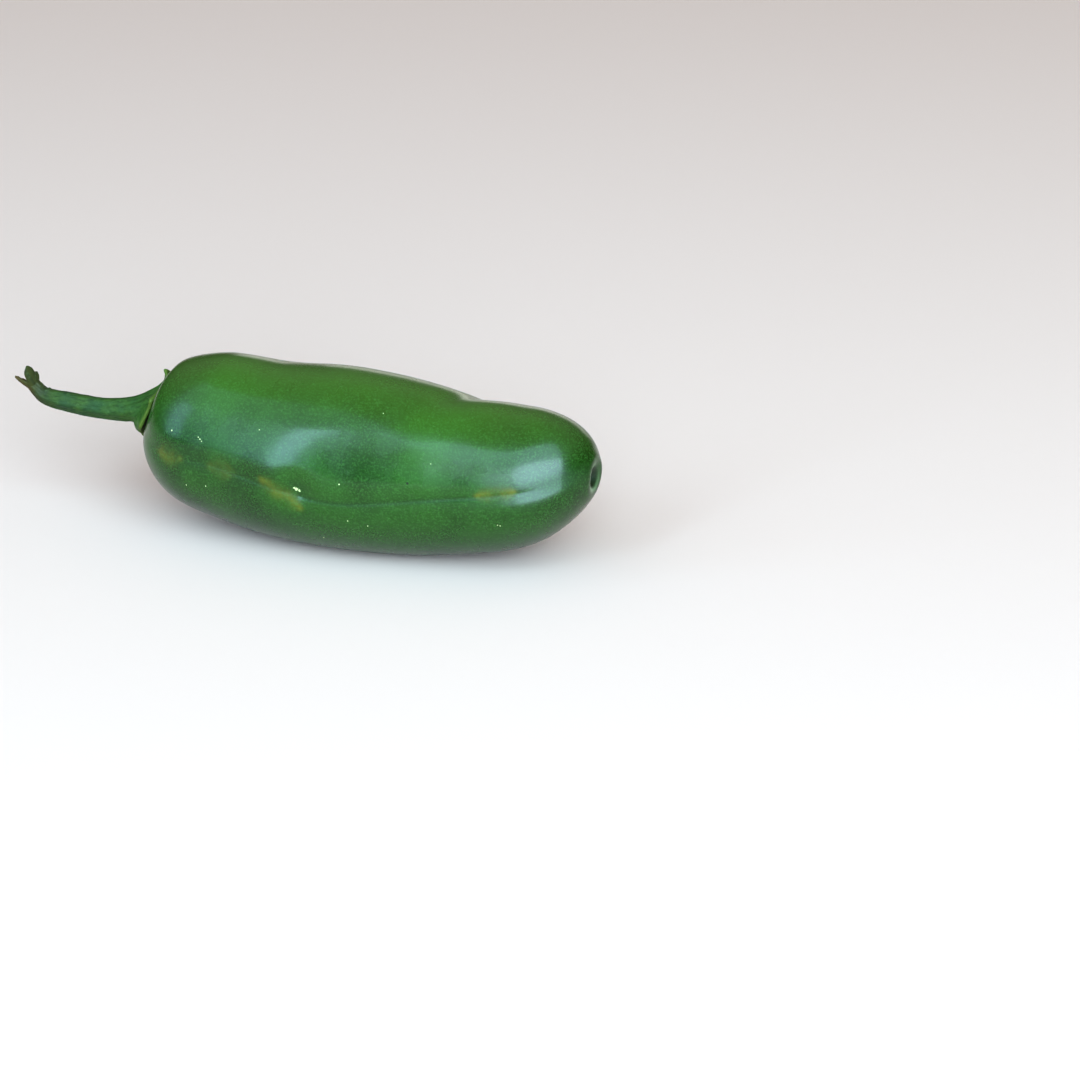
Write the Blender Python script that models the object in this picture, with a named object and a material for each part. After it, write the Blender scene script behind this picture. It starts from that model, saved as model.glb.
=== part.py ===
"""A large green chilli pepper as picked, lying on its belly.

Two pieces: the pod, which grew as one solid, and the stalk with its calyx, which is one
solid too and sits on the crown of the pod. +X runs from the stalk to the blossom end and
+Z is up. The origin is on the surface that the pod lies on, under the middle of the box
round the whole pepper.

On the pod, s is the distance along the axis from the crown, and v is the turn round it:
0 is the far side (+Y), 90 degrees the top, 180 degrees the near side and 270 the belly.
"""

import math

import bmesh
import bpy
import numpy as np

MM = 0.001
SIDEWAYS = np.array([0.0, 1.0, 0.0])

# The pod: its length, its bend (both ends curl up) and its thickness along the axis.
# Each station is s, half of the thickness and how far the axis rises, in mm.
POD_LENGTH = 88.0 * MM
POD_BEND = math.radians(21)
POD_STATIONS = (
    (0.0, 14.1, 2.5),
    (7.0, 14.5, 0.4),
    (15.0, 15.2, 0.1),
    (26.0, 16.1, -0.3),
    (38.0, 16.7, -0.2),
    (49.0, 16.4, -0.3),
    (58.0, 15.4, -0.9),
    (66.0, 14.3, -1.5),
    (75.0, 12.7, -1.6),
    (82.0, 11.0, -0.8),
    (88.0, 10.2, -0.2),
)
POD_MIDDLE = (12.0 * MM, 0.0, 16.2 * MM)
SIDE_BOW = 1.2 * MM
SHOULDER_CAP = 16.0 * MM
SHOULDER_POWER = 2.25
TIP_CAP = 12.0 * MM
TIP_POWER = 2.15

# Three shallow lobes, as the pod has three chambers.
LOBES = 3
LOBE_SWELL = 0.018
LOBE_TURN = math.radians(100)
LOBE_FADE = 0.6

# The crown, where the calyx sits, is dished, and more so towards the top.
CROWN_DEPTH = 2.9 * MM
CROWN_TILT = 0.45
CROWN_RADIUS = 8.0 * MM

# The shoulder round the crown swells out most on the near side of the top.
SHOULDER_SWELL = 0.85 * MM
SHOULDER_SWELL_TURN = math.radians(136)
SHOULDER_SWELL_REACH = math.radians(38)
SHOULDER_SWELL_RADIUS = 11.0 * MM
SHOULDER_SWELL_WIDTH = 3.5 * MM

# The pit at the blossom end, off the middle and mostly below it, with a low lip round it.
PIT_OFF = 2.1 * MM
PIT_TURN = math.radians(248)
PIT_DEPTH = 1.9 * MM
PIT_RADIUS = 1.8 * MM
PIT_LIP = 0.18 * MM
PIT_LIP_RADIUS = 3.4 * MM
PIT_LIP_WIDTH = 1.0 * MM

# A dimple on the near side, and the crease that wanders through it from the crown to the
# blossom end, as s in mm and turn in degrees.
DIMPLE_ALONG = 36.3 * MM
DIMPLE_TURN = math.radians(181)
DIMPLE_DEPTH = 0.8 * MM
DIMPLE_WIDTH = 3.0 * MM
CREASE_PATH = (
    (0.0, 186),
    (10.0, 183),
    (20.0, 178),
    (31.0, 182),
    (42.0, 187),
    (56.0, 181),
    (65.0, 176),
    (74.0, 174),
    (88.0, 179),
)
CREASE_DEPTH = 0.25 * MM
CREASE_WIDTH = 1.9 * MM

# A slanting valley over the top, behind the swelling at the blossom end.
VALLEY_ALONG = 65.5 * MM
VALLEY_TURN = math.radians(67)
VALLEY_SLANT = -8.5 * MM
VALLEY_DEPTH = 0.6 * MM
VALLEY_WIDTH = 4.0 * MM
VALLEY_REACH = math.radians(50)

# Slow unevenness: size in mm, waves along the pod, waves round it, phase.
SWELLS = (
    (0.10, 1.3, 2, 0.4),
    (0.08, 2.1, 3, 2.0),
    (0.06, 3.7, 1, 4.1),
    (0.05, 4.9, 4, 1.2),
)

# Broad hollows and swellings: s in mm, turn in degrees, height in mm, how far along in mm
# and how far round in degrees.
NEAR_SWELLS = (
    (15.0, 158, -0.45, 8.0, 35),
    (30.0, 158, 0.45, 9.0, 35),
    (77.0, 193, 0.55, 9.0, 20),
)

POD_RINGS = 52
POD_SIDES = 54
POD_PIT_FINER = 1.6

# The stalk: its centre line from the crown, as mm towards the blossom end and mm up, and
# its half thickness at distances along that line, both in mm.
STALK_PATH = (
    (0.0, 0.0),
    (-5.0, -1.6),
    (-9.0, -2.2),
    (-13.0, -2.3),
    (-17.0, -2.0),
    (-21.2, -1.5),
    (-23.9, -0.8),
    (-25.8, 1.0),
)
STALK_STATIONS = (
    (0.0, 3.4),
    (5.0, 2.6),
    (8.0, 2.25),
    (11.0, 2.05),
    (15.0, 1.95),
    (20.0, 1.85),
    (24.0, 1.55),
    (26.0, 1.3),
    (28.5, 1.15),
)
STALK_START = 8.0 * MM
STALK_RINGS = 16
STALK_SWAY = 0.8 * MM

# Low ribs along the stalk, and small nicks as distance along it, turn in degrees, height and
# width, the others in mm.
STALK_RIBS = 5
STALK_RIB_HEIGHT = 0.10 * MM
STALK_RIB_TURN = math.radians(250)
STALK_NICKS = (
    (23.9, 80, 0.30, 0.6),
    (25.3, 105, -0.25, 0.5),
    (26.2, 75, 0.25, 0.4),
)

# The torn end: prongs as turn and half width in degrees, length and outward lean in mm. The
# steps go over a prong and down its inside, as shares of its length and of the stalk's radius.
PRONGS = (
    (258, 42, 2.2, 0.5),
    (208, 34, 1.9, 0.45),
    (122, 40, 3.2, 1.8),
    (72, 11, 0.6, 0.9),
)
PRONG_STUB = 0.35 * MM
TORN_STEPS = (
    (0.30, 1.06),
    (0.64, 1.05),
    (0.92, 0.92),
    (1.00, 0.68),
    (0.86, 0.42),
    (0.35, 0.35),
)
TORN_CUP = 0.3 * MM

# The calyx: a thin disc that follows the crown, with teeth as turn in degrees, size and how
# far the tip curls away in mm. Its rings lie under it at shares of the rim's radius, and over
# it at shares of the way in to where it flares to the stalk, which is nearer the rim below.
CALYX_GAP = 0.3 * MM
CALYX_RADIUS = 5.9 * MM
CALYX_TEETH = (
    (28, 0.9, 0.0),
    (84, 0.7, 1.2),
    (151, 0.8, 0.0),
    (208, 0.3, 0.0),
    (266, 0.5, 0.0),
    (330, 0.9, 0.0),
)
TOOTH_LENGTH = 1.2 * MM
TOOTH_HALF_TURN = math.radians(9)
TOOTH_FOOT = 0.5 * MM
TOOTH_FOOT_TURN = math.radians(24)
CALYX_RIM = 0.65 * MM
CALYX_MIDDLE = 1.1 * MM
CALYX_INNER = 0.68
CALYX_CONE = 0.5 * MM
CALYX_CONE_INNER = 0.23
CALYX_CONE_TURN = math.radians(258)
CALYX_CONE_SPREAD = math.radians(60)
CALYX_RIDGE = 0.20 * MM
CALYX_LIFT = 0.4 * MM
CALYX_LIFT_TURN = math.radians(255)
CALYX_LIFT_SPREAD = math.radians(57)
CALYX_UNDER = (0.3, 0.6, 0.82, 0.95)
CALYX_UPPER = (0.09, 0.37, 0.69, 1.0)
FLARE_RINGS = 6
FLARE_INWARD = 1.3 * MM
FLARE_ALONG = 2.8 * MM
CALYX_SIDES = 48
CALYX_TOOTH_FINER = 1.5


def curve_through(stations, column, x):
    """The smooth curve through one column of the stations, read at x."""
    xs = np.array([station[0] for station in stations]) * MM
    ys = np.array([station[column] for station in stations]) * MM
    count = len(xs)
    gaps = np.diff(xs)
    slopes = np.diff(ys) / gaps
    system = np.eye(count)
    wanted = np.zeros(count)
    for i in range(1, count - 1):
        system[i, i - 1:i + 2] = gaps[i - 1], 2 * (gaps[i - 1] + gaps[i]), gaps[i]
        wanted[i] = 6 * (slopes[i] - slopes[i - 1])
    bends = np.linalg.solve(system, wanted)
    x = np.clip(np.asarray(x, float), xs[0], xs[-1])
    i = np.clip(np.searchsorted(xs, x) - 1, 0, count - 2)
    after = x - xs[i]
    before = xs[i + 1] - x
    cubic = (bends[i] * before**3 + bends[i + 1] * after**3) / (6 * gaps[i])
    left = (ys[i] / gaps[i] - bends[i] * gaps[i] / 6) * before
    right = (ys[i + 1] / gaps[i] - bends[i + 1] * gaps[i] / 6) * after
    return cubic + left + right


def bell(x):
    return np.exp(-x**2)


def turned(v, start):
    """The turn from start to v, between minus and plus half a turn."""
    return (v - start + math.pi) % (2 * math.pi) - math.pi


def round_end(distance, length, power):
    share = np.clip(distance / length, 0, 1)
    return (1 - (1 - share) ** power) ** (1 / power)


def spaced(count, fine, steps):
    """count values read from fine, at even shares of the running total of steps."""
    total = np.concatenate([[0.0], np.cumsum(steps)])
    return np.interp(np.linspace(0, total[-1], count), total, fine)


def crease_turn(s):
    return math.radians(1) * curve_through(CREASE_PATH, 1, s) / MM


def pod_radius(s, v):
    near_end = round_end(s, SHOULDER_CAP, SHOULDER_POWER)
    far_end = round_end(POD_LENGTH - s, TIP_CAP, TIP_POWER)
    ends = near_end * far_end
    share = s / POD_LENGTH
    r = curve_through(POD_STATIONS, 1, s) * ends
    r = r * (1 + LOBE_SWELL * np.cos(LOBES * (v - LOBE_TURN)) * (1 - LOBE_FADE * share))
    for size, along, around, phase in SWELLS:
        wave = np.sin(2 * math.pi * along * share + phase) * np.cos(around * v + phase)
        r = r + size * MM * ends * wave
    for at, turn, height, along, reach in NEAR_SWELLS:
        beside = turned(v, math.radians(turn)) / math.radians(reach)
        r = r + height * MM * bell((s - at * MM) / (along * MM)) * bell(beside)
    across = turned(v, DIMPLE_TURN) * r
    r = r - DIMPLE_DEPTH * bell((s - DIMPLE_ALONG) / DIMPLE_WIDTH) * bell(across / DIMPLE_WIDTH)
    line = VALLEY_ALONG + VALLEY_SLANT * turned(v, VALLEY_TURN)
    reach = bell(turned(v, VALLEY_TURN) / VALLEY_REACH)
    r = r - VALLEY_DEPTH * bell((s - line) / VALLEY_WIDTH) * reach
    across = turned(v, crease_turn(s)) * r
    return r - CREASE_DEPTH * ends * bell(across / CREASE_WIDTH)


def pod_axis(s):
    """The centre of the pod's section at s, the way along the axis and the way up from it."""
    bend_radius = POD_LENGTH / POD_BEND
    turn = (s - POD_LENGTH / 2) / bend_radius
    zero = 0 * turn
    along = np.stack([np.cos(turn), zero, np.sin(turn)], -1)
    up = np.stack([-np.sin(turn), zero, np.cos(turn)], -1)
    bow = SIDE_BOW * (2 * s / POD_LENGTH - 1) ** 2
    arc = np.stack([bend_radius * np.sin(turn), bow, bend_radius * (1 - np.cos(turn))], -1)
    rise = curve_through(POD_STATIONS, 2, s)
    return arc + np.array(POD_MIDDLE) + rise[..., None] * up, along, up


def from_pit(r, v):
    """How far a place on the blossom end is from the middle of the pit."""
    sideways = r * np.cos(v) - PIT_OFF * math.cos(PIT_TURN)
    up = r * np.sin(v) - PIT_OFF * math.sin(PIT_TURN)
    return np.hypot(sideways, up)


def pod_points(s, v):
    """Points of the pod's surface."""
    s, v = np.broadcast_arrays(np.asarray(s, float), np.asarray(v, float))
    r = pod_radius(s, v)
    centre, along, up = pod_axis(s)
    crown = (CROWN_DEPTH + CROWN_TILT * r * np.sin(v)) * bell(r / CROWN_RADIUS)
    swell = bell(turned(v, SHOULDER_SWELL_TURN) / SHOULDER_SWELL_REACH)
    swell = swell * bell((r - SHOULDER_SWELL_RADIUS) / SHOULDER_SWELL_WIDTH)
    crown = crown - SHOULDER_SWELL * swell * bell(s / SHOULDER_CAP)
    away = from_pit(r, v)
    pit = PIT_LIP * bell((away - PIT_LIP_RADIUS) / PIT_LIP_WIDTH)
    pit = pit - PIT_DEPTH * bell(away / PIT_RADIUS)
    sink = np.where(s < POD_LENGTH / 2, crown, pit)
    across = np.cos(v)[..., None] * SIDEWAYS + np.sin(v)[..., None] * up
    return centre + r[..., None] * across + sink[..., None] * along


def pod_places(count):
    """Places for the rings: even along the outline, and closer round the blossom pit."""
    fine = POD_LENGTH * (1 - np.cos(math.pi * np.linspace(0, 1, 4001))) / 2
    r = pod_radius(fine, 0.0)
    middle_r = (r[1:] + r[:-1]) / 2
    at_tip = fine[1:] > POD_LENGTH / 2
    finer = 1 + POD_PIT_FINER * at_tip * bell(middle_r / (PIT_OFF + PIT_RADIUS))
    return spaced(count, fine, np.hypot(np.diff(fine), np.diff(r)) * finer)


def crown_place(radius, v):
    """The s at which the pod, near its crown, has this radius at turn v."""
    fine = SHOULDER_CAP * np.linspace(0, 1, 801) ** 2
    places = [np.interp(one, pod_radius(fine, turn), fine) for one, turn in zip(radius, v)]
    return np.array(places)


def above_crown(radius, v, height):
    """Points at this height over the pod's crown, at a radius from its middle."""
    step = 0.02 * MM
    s = crown_place(radius, v)
    at = pod_points(s, v)
    along_pod = pod_points(crown_place(radius + step, v), v) - at
    round_pod = pod_points(s, v + step / np.maximum(radius, step)) - at
    outward = np.cross(round_pod, along_pod)
    outward = outward / np.linalg.norm(outward, axis=-1, keepdims=True)
    return at + np.asarray(height)[..., None] * outward


def tooth_share(v, half_turn):
    """1 on the middle of each of the calyx's teeth, falling to 0 beside it."""
    return sum(size * bell(turned(v, math.radians(at)) / half_turn)
               for at, size, _ in CALYX_TEETH)


def calyx_turns():
    """Turns for the calyx's columns, closer together at the teeth."""
    fine = np.linspace(0, 2 * math.pi, 4001)
    finer = 1 + CALYX_TOOTH_FINER * tooth_share(fine[1:], 1.5 * TOOTH_HALF_TURN)
    return spaced(CALYX_SIDES + 1, fine, finer)[:-1]


def stalk_stations():
    """The stalk's centre line as stations: distance along it, x and z, in mm."""
    xs = [point[0] for point in STALK_PATH]
    zs = [point[1] for point in STALK_PATH]
    reached = np.concatenate([[0.0], np.cumsum(np.hypot(np.diff(xs), np.diff(zs)))])
    return list(zip(reached, xs, zs))


def stalk_length():
    return stalk_stations()[-1][0] * MM


def stalk_centre(distance):
    """The stalk's centre at a distance from the crown."""
    stations = stalk_stations()
    x = curve_through(stations, 1, distance)
    z = curve_through(stations, 2, distance)
    y = -STALK_SWAY * (distance / stalk_length()) ** 2
    return pod_points(0.0, 0.0) + np.array([x, y, z])


def stalk_frame(distance):
    """The way along the stalk, and the way up from it, at a distance from the crown."""
    step = 0.05 * MM
    before = stalk_centre(min(distance, stalk_length() - step))
    along = stalk_centre(min(distance + step, stalk_length())) - before
    along = along / np.linalg.norm(along)
    up = np.cross(SIDEWAYS, along)
    return along, up / np.linalg.norm(up)


def round_stalk(up, v):
    """Ways out from the stalk's centre at turns v."""
    return np.cos(v)[:, None] * SIDEWAYS + np.sin(v)[:, None] * up


def stalk_ring(distance, v):
    """One ring of the stalk, with its ribs and nicks."""
    _, up = stalk_frame(distance)
    r = curve_through(STALK_STATIONS, 1, distance)
    r = r + STALK_RIB_HEIGHT * np.cos(STALK_RIBS * (v - STALK_RIB_TURN))
    for at, turn, height, width in STALK_NICKS:
        away = np.hypot(distance - at * MM, turned(v, math.radians(turn)) * r)
        r = r + height * MM * bell(away / (width * MM))
    return stalk_centre(distance) + r[:, None] * round_stalk(up, v)


def torn_rings(v):
    """The rings over the torn prongs and down into the cup between them, and its bottom."""
    end = stalk_centre(stalk_length())
    along, up = stalk_frame(stalk_length())
    r = float(curve_through(STALK_STATIONS, 1, stalk_length()))
    reach = np.full(len(v), PRONG_STUB)
    lean = np.zeros(len(v))
    for turn, half_width, length, outward in PRONGS:
        share = np.exp(-np.abs(turned(v, math.radians(turn)) / math.radians(half_width)) ** 3)
        reach = reach + length * MM * share
        lean = lean + outward * MM * share
    rings = []
    for share, width in TORN_STEPS:
        out = r * width + lean * share
        rings.append(end + (reach * share)[:, None] * along + out[:, None] * round_stalk(up, v))
    return rings, end - TORN_CUP * along


def calyx_rings(v):
    """The rings of the calyx from under its middle, round its toothed rim and up to the stalk."""
    rim = (CALYX_RADIUS + TOOTH_LENGTH * tooth_share(v, TOOTH_HALF_TURN)
           + TOOTH_FOOT * tooth_share(v, TOOTH_FOOT_TURN))
    ridge = CALYX_RIDGE * tooth_share(v, TOOTH_HALF_TURN)
    lift = CALYX_LIFT * bell(turned(v, CALYX_LIFT_TURN) / CALYX_LIFT_SPREAD)
    for at, _, curl in CALYX_TEETH:
        lift = lift + curl * MM * bell(turned(v, math.radians(at)) / TOOTH_HALF_TURN)
    cone = bell(turned(v, CALYX_CONE_TURN) / CALYX_CONE_SPREAD)
    inner = CALYX_INNER + CALYX_CONE_INNER * cone
    middle = CALYX_MIDDLE - CALYX_RIM + CALYX_CONE * cone
    under = []
    for share in CALYX_UNDER:
        under.append(above_crown(rim * share, v, CALYX_GAP + lift * share**4))
    edge = CALYX_GAP + lift + (CALYX_RIM + ridge) / 2
    tip = above_crown(rim, v, edge)
    upper = []
    for step in CALYX_UPPER:
        share = 1 - step * (1 - inner)
        height = CALYX_GAP + lift * share**4 + CALYX_RIM + ridge + step * middle
        upper.append(above_crown(rim * share, v, height))
    return under + [tip] + upper


def flare_rings(inner, before, v):
    """Rings that lead from the calyx's last ring up into the stalk."""
    start = stalk_ring(STALK_START, v)
    along, _ = stalk_frame(STALK_START)
    inward = inner - before
    inward = inward / np.linalg.norm(inward, axis=-1, keepdims=True)
    first = inner + FLARE_INWARD * inward
    last = start - FLARE_ALONG * along
    rings = []
    for t in np.linspace(0, 1, FLARE_RINGS + 2)[1:-1]:
        rings.append((1 - t) ** 3 * inner + 3 * t * (1 - t) ** 2 * first
                     + 3 * t**2 * (1 - t) * last + t**3 * start)
    return rings


def closed_tube(name, rings, first_pole, last_pole):
    """A mesh from rings of points, closed by a pole at each end, facing out."""
    bm = bmesh.new()
    loops = [[bm.verts.new(point) for point in ring] for ring in rings]
    count = len(loops[0])
    for lower, upper in zip(loops, loops[1:]):
        for i in range(count):
            j = (i + 1) % count
            bm.faces.new((lower[i], lower[j], upper[j], upper[i]))
    for loop, pole in ((loops[0], first_pole), (loops[-1], last_pole)):
        centre = bm.verts.new(pole)
        for i in range(count):
            bm.faces.new((loop[i], loop[(i + 1) % count], centre))
    bmesh.ops.recalc_face_normals(bm, faces=bm.faces)
    mesh = bpy.data.meshes.new(name)
    bm.to_mesh(mesh)
    bm.free()
    mesh.shade_smooth()
    return mesh


def cut_flat(mesh):
    """Takes off what is below the surface, which leaves the flat spot that the pod rests on."""
    bm = bmesh.new()
    bm.from_mesh(mesh)
    parts = bm.verts[:] + bm.edges[:] + bm.faces[:]
    cut = bmesh.ops.bisect_plane(bm, geom=parts, plane_co=(0, 0, 0), plane_no=(0, 0, -1),
                                 clear_outer=True)
    edges = [part for part in cut["geom_cut"] if isinstance(part, bmesh.types.BMEdge)]
    bmesh.ops.edgeloop_fill(bm, edges=edges)
    bmesh.ops.recalc_face_normals(bm, faces=bm.faces)
    bm.to_mesh(mesh)
    bm.free()


def make_pod():
    s = pod_places(POD_RINGS)
    v = np.linspace(0, 2 * math.pi, POD_SIDES, endpoint=False)
    rings = pod_points(s[1:-1, None], v[None, :])
    mesh = closed_tube("pod", rings, pod_points(0.0, 0.0), pod_points(POD_LENGTH, 0.0))
    cut_flat(mesh)
    return mesh


def make_stem_with_calyx():
    v = calyx_turns()
    calyx = calyx_rings(v)
    flare = flare_rings(calyx[-1], calyx[-2], v)
    stalk = [stalk_ring(place, v) for place in np.linspace(STALK_START, stalk_length(), STALK_RINGS)]
    torn, cup = torn_rings(v)
    under = pod_points(0.0, 0.0) - CALYX_GAP * pod_axis(np.array(0.0))[1]
    return closed_tube("stem_with_calyx", calyx + flare + stalk + torn, under, cup)


def finished(name, mesh, colour, roughness):
    """An object of its own for the mesh, with a material of its own."""
    material = bpy.data.materials.new(name)
    material.use_nodes = True
    shader = material.node_tree.nodes["Principled BSDF"]
    shader.inputs["Base Color"].default_value = (*colour, 1.0)
    shader.inputs["Roughness"].default_value = roughness
    shader.inputs["Metallic"].default_value = 0.0
    material.diffuse_color = (*colour, 1.0)
    mesh.materials.append(material)
    piece = bpy.data.objects.new(name, mesh)
    bpy.context.scene.collection.objects.link(piece)
    return piece


def centre_on_origin(meshes):
    """Moves the whole pepper sideways, so that the middle of its box is over the origin."""
    points = np.array([vertex.co for mesh in meshes for vertex in mesh.vertices])
    middle = (points.min(axis=0) + points.max(axis=0)) / 2
    for mesh in meshes:
        for vertex in mesh.vertices:
            vertex.co.x -= middle[0]
            vertex.co.y -= middle[1]


def main():
    for old in list(bpy.data.objects):
        bpy.data.objects.remove(old)
    pod = make_pod()
    stem = make_stem_with_calyx()
    centre_on_origin([pod, stem])
    finished("pod", pod, (0.055, 0.190, 0.050), 0.25)
    finished("stem_with_calyx", stem, (0.075, 0.200, 0.060), 0.55)


main()
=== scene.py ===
"""The looks of a large green chilli pepper lying on a pale floor.

The pod and the stalk with its calyx are made again here as finer meshes, by the same rules as
the solids that they replace, and get their skin, fibres, scars and light.

On the pod, s is the distance along the axis from the crown, and v is the turn round it:
0 is the far side (+Y), 90 degrees the top, 180 degrees the near side and 270 the belly.
"""

import math

import bmesh
import bpy
import numpy as np
from mathutils import Matrix, Vector, noise

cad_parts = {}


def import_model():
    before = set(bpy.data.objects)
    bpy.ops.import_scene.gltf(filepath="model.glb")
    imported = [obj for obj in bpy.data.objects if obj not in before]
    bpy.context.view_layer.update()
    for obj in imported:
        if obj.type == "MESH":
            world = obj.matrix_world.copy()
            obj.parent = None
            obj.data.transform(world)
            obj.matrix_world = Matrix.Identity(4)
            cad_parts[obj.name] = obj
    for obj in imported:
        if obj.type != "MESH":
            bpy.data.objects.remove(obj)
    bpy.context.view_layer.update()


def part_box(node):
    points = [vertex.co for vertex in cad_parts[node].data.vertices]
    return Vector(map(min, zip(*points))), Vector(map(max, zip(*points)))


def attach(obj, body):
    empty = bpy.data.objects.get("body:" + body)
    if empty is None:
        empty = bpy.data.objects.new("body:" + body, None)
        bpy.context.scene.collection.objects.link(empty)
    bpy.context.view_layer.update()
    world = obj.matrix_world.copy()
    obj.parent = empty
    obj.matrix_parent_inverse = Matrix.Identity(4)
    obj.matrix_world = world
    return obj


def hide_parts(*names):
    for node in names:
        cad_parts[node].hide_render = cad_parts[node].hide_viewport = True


MM = 0.001
SIDEWAYS = np.array([0.0, 1.0, 0.0])

# A length below this counts as none.
NO_LENGTH = 1e-12

# The pod: its length, its bend (both ends curl up) and its thickness along the axis.
# Each station is s, half of the thickness and how far the axis rises, in mm.
POD_LENGTH = 88.0 * MM
POD_BEND = math.radians(21)
POD_STATIONS = (
    (0.0, 14.1, 2.5),
    (7.0, 14.5, 0.4),
    (15.0, 15.2, 0.1),
    (26.0, 16.1, -0.3),
    (38.0, 16.7, -0.2),
    (49.0, 16.4, -0.3),
    (58.0, 15.4, -0.9),
    (66.0, 14.3, -1.5),
    (75.0, 12.7, -1.6),
    (82.0, 11.0, -0.8),
    (88.0, 10.2, -0.2),
)
POD_MIDDLE = (12.0 * MM, 0.0, 16.2 * MM)
SIDE_BOW = 1.2 * MM
SHOULDER_CAP = 16.0 * MM
SHOULDER_POWER = 2.25
TIP_CAP = 12.0 * MM
TIP_POWER = 2.15

# Three shallow lobes, as the pod has three chambers.
LOBES = 3
LOBE_SWELL = 0.018
LOBE_TURN = math.radians(100)
LOBE_FADE = 0.6

# The crown, where the calyx sits, is dished, and more so towards the top.
CROWN_DEPTH = 2.9 * MM
CROWN_TILT = 0.45
CROWN_RADIUS = 8.0 * MM

# The shoulder round the crown swells out most on the near side of the top.
SHOULDER_SWELL = 0.85 * MM
SHOULDER_SWELL_TURN = math.radians(136)
SHOULDER_SWELL_REACH = math.radians(38)
SHOULDER_SWELL_RADIUS = 11.0 * MM
SHOULDER_SWELL_WIDTH = 3.5 * MM

# The pit at the blossom end, off the middle and mostly below it, with a low lip round it.
PIT_OFF = 2.1 * MM
PIT_TURN = math.radians(248)
PIT_DEPTH = 1.9 * MM
PIT_RADIUS = 1.8 * MM
PIT_LIP = 0.18 * MM
PIT_LIP_RADIUS = 3.4 * MM
PIT_LIP_WIDTH = 1.0 * MM

# A dimple on the near side, and the crease that wanders through it from the crown to the
# blossom end, as s in mm and turn in degrees.
DIMPLE_ALONG = 36.3 * MM
DIMPLE_TURN = math.radians(181)
DIMPLE_DEPTH = 0.8 * MM
DIMPLE_WIDTH = 3.0 * MM
CREASE_PATH = (
    (0.0, 186),
    (10.0, 183),
    (20.0, 178),
    (31.0, 182),
    (42.0, 187),
    (56.0, 181),
    (65.0, 176),
    (74.0, 174),
    (88.0, 179),
)
CREASE_DEPTH = 0.25 * MM
CREASE_WIDTH = 1.9 * MM

# A slanting valley over the top, behind the swelling at the blossom end.
VALLEY_ALONG = 65.5 * MM
VALLEY_TURN = math.radians(67)
VALLEY_SLANT = -8.5 * MM
VALLEY_DEPTH = 0.6 * MM
VALLEY_WIDTH = 4.0 * MM
VALLEY_REACH = math.radians(50)

# Slow unevenness: size in mm, waves along the pod, waves round it, phase.
SWELLS = (
    (0.10, 1.3, 2, 0.4),
    (0.08, 2.1, 3, 2.0),
    (0.06, 3.7, 1, 4.1),
    (0.05, 4.9, 4, 1.2),
)

# Broad hollows and swellings: s in mm, turn in degrees, height in mm, how far along in mm
# and how far round in degrees.
NEAR_SWELLS = (
    (15.0, 158, -0.45, 8.0, 35),
    (30.0, 158, 0.45, 9.0, 35),
    (77.0, 193, 0.55, 9.0, 20),
)

# The pod's mesh is closer round the pit and along the crease. FINE_STEPS is how many places
# are tried where rings or columns are spaced by a rule.
POD_RINGS = 300
POD_SIDES = 330
POD_PIT_FINER = 1.6
CREASE_FINER = 2.2
CREASE_FINER_REACH = math.radians(16)
FINE_STEPS = 4001
CROWN_STEPS = 801

# The crease's sharp middle, which is too fine for the CAD: it starts on the shoulder, grows
# clear along the pod, and fades out again before it ends at the tip.
FINE_CREASE_DEPTH = 0.09 * MM
FINE_CREASE_HALF = 0.42 * MM
FINE_CREASE_START = 6 * MM
FINE_CREASE_GROWS = 30 * MM
FINE_CREASE_END = 81 * MM
FINE_CREASE_FADES = 7 * MM

# The skin's own unevenness: height and wave length, in mm.
SKIN_WAVES = (
    (0.035, 9.0),
    (0.016, 4.0),
)

# The stalk: its centre line from the crown, as mm towards the blossom end and mm up, and
# its half thickness at distances along that line, both in mm.
STALK_PATH = (
    (0.0, 0.0),
    (-5.0, -1.6),
    (-9.0, -2.2),
    (-13.0, -2.3),
    (-17.0, -2.0),
    (-21.2, -1.5),
    (-23.9, -0.8),
    (-25.8, 1.0),
)
STALK_STATIONS = (
    (0.0, 3.4),
    (5.0, 2.6),
    (8.0, 2.25),
    (11.0, 2.05),
    (15.0, 1.95),
    (20.0, 1.85),
    (24.0, 1.55),
    (26.0, 1.3),
    (28.5, 1.15),
)
STALK_START = 8.0 * MM
STALK_RINGS = 120
STALK_SWAY = 0.8 * MM

# Low ribs along the stalk, and small nicks as distance along it, turn in degrees, height and
# width, the others in mm.
STALK_RIBS = 5
STALK_RIB_HEIGHT = 0.10 * MM
STALK_RIB_TURN = math.radians(250)
STALK_NICKS = (
    (23.9, 80, 0.30, 0.6),
    (25.3, 105, -0.25, 0.5),
    (26.2, 75, 0.25, 0.4),
)

# The stem's own unevenness, as the skin's, and its fibres: the height of their relief, how
# far along the stem one unit of their pattern runs, and how fine the relief is in it.
STALK_WAVES = (
    (0.06, 2.6),
    (0.03, 0.9),
)
FIBRE_HEIGHT = 0.05 * MM
FIBRE_UNIT = 6 * MM
FIBRE_FINENESS = 4.0

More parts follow.
